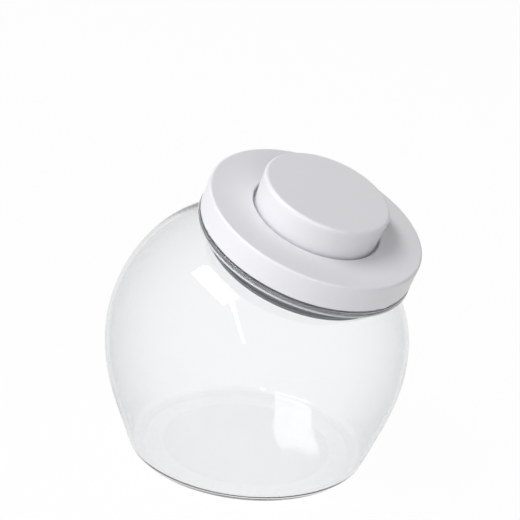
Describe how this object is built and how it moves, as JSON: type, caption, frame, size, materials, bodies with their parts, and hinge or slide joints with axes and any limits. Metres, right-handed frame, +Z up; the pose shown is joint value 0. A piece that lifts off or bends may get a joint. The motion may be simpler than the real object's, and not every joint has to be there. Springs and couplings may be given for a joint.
{
  "type": "push-button storage canister",
  "caption": "Round clear jar with a forward-leaning mouth and a round white lid sealed and released by its push button.",
  "frame": {"origin": "middle of the flat base, on the surface that it stands on", "axes": "+Z up, the mouth leans towards -Y, mirror symmetric outside in X"},
  "size_m": [0.1832, 0.1876, 0.1919],
  "materials": {
    "clear_plastic": "gloss",
    "white_plastic": "satin",
    "grey_plastic": "satin",
    "bearing_plastic": "satin",
    "silicone": "matte",
    "steel": "satin"
  },
  "bodies": {
    "jar": {"jar_body": "clear_plastic"},
    "lid": {"lid_cover": "white_plastic", "lid_housing": "white_plastic", "sealing_ring": "silicone", "return_spring": "steel", "lever_pin_1": "steel", "lever_pin_2": "steel", "lever_pin_3": "steel", "latch_pin": "steel", "cover_screw_1": "steel", "cover_screw_2": "steel", "cover_screw_3": "steel"},
    "button": {"button_cap": "white_plastic", "button_core": "grey_plastic"},
    "plate": {"pressure_plate": "grey_plastic", "lift_ring": "grey_plastic", "lift_screw_1": "steel", "lift_screw_2": "steel", "lift_screw_3": "steel"},
    "lever_1": {"press_lever_1": "bearing_plastic"},
    "lever_2": {"press_lever_2": "bearing_plastic"},
    "lever_3": {"press_lever_3": "bearing_plastic"},
    "latch": {"latch_arm": "bearing_plastic"}
  },
  "joints": [
    {"name": "lid_lift", "type": "slide", "parent": "jar", "child": "lid", "axis": [0, -0.342, 0.9397], "range_m": [0, 0.15]},
    {"name": "button_press", "type": "slide", "parent": "lid", "child": "button", "axis": [0, -0.342, 0.9397], "range_m": [-0.016, 0], "stiffness_N_per_m": 200, "springref_m": 0.012, "deforming": ["return_spring", "sealing_ring"]},
    {"name": "plate_lift", "type": "slide", "parent": "lid", "child": "plate", "axis": [0, -0.342, 0.9397], "range_m": [0, 0.0032]},
    {"name": "lever_rock_1", "type": "hinge", "parent": "lid", "child": "lever_1", "pos_m": [0, -0.01702, 0.15486], "axis": [-1, 0, 0], "range_deg": [0, 55]},
    {"name": "lever_rock_2", "type": "hinge", "parent": "lid", "child": "lever_2", "pos_m": [-0.01256, -0.03746, 0.14742], "axis": [0.5, -0.8138, -0.2962], "range_deg": [0, 55]},
    {"name": "lever_rock_3", "type": "hinge", "parent": "lid", "child": "lever_3", "pos_m": [0.01256, -0.03746, 0.14742], "axis": [0.5, 0.8138, 0.2962], "range_deg": [0, 55]},
    {"name": "latch_swing", "type": "hinge", "parent": "lid", "child": "latch", "pos_m": [0.01645, -0.0196, 0.14733], "axis": [0.866, 0.4698, 0.171], "range_deg": [-12, 0]}
  ],
  "couplings": [
    {"joint": "plate_lift", "follows": "button_press", "ratio": -0.18889},
    {"joint": "lever_rock_1", "follows": "button_press", "rad_per_m": -57.569},
    {"joint": "lever_rock_2", "follows": "button_press", "rad_per_m": -57.569},
    {"joint": "lever_rock_3", "follows": "button_press", "rad_per_m": -57.569},
    {"joint": "latch_swing", "follows": "button_press", "rad_per_m": 12.231}
  ]
}
